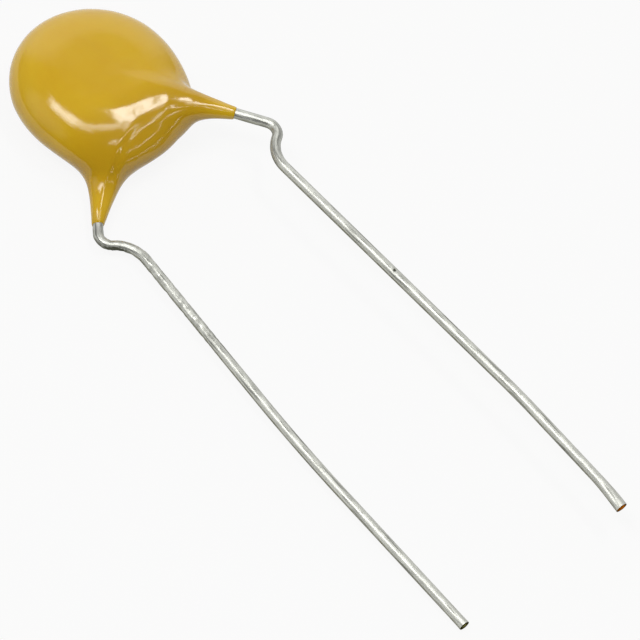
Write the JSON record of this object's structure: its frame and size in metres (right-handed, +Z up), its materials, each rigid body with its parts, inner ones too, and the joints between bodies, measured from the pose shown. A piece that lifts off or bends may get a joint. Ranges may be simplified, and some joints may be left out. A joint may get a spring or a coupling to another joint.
{
  "type": "ceramic disc capacitor",
  "caption": "Ceramic disc capacitor dipped in glossy mustard epoxy, with a horn of coating drawn out along each kinked, tinned copper wire lead.",
  "frame": {"origin": "centre of the bounding box on the surface that the capacitor lies on, under the box's middle", "axes": "+Y from the cut ends of the leads towards the disc, +X towards the lead on the front face, +Z up out of the front face; the part is pitched by 0.96 degrees, as it rests on the rear of its body and the tip of its rear lead"},
  "size_m": [0.0122, 0.043, 0.0041],
  "materials": {
    "fired_ceramic": "matte",
    "silver_film": "satin",
    "solder": "satin",
    "tinned_copper": "satin",
    "mustard_epoxy": "gloss"
  },
  "bodies": {
    "root": {"ceramic_disc": "fired_ceramic", "front_electrode": "silver_film", "rear_electrode": "silver_film", "front_solder_joint": "solder", "rear_solder_joint": "solder", "left_lead": "tinned_copper", "right_lead": "tinned_copper", "epoxy_coating": "mustard_epoxy"}
  },
  "joints": []
}
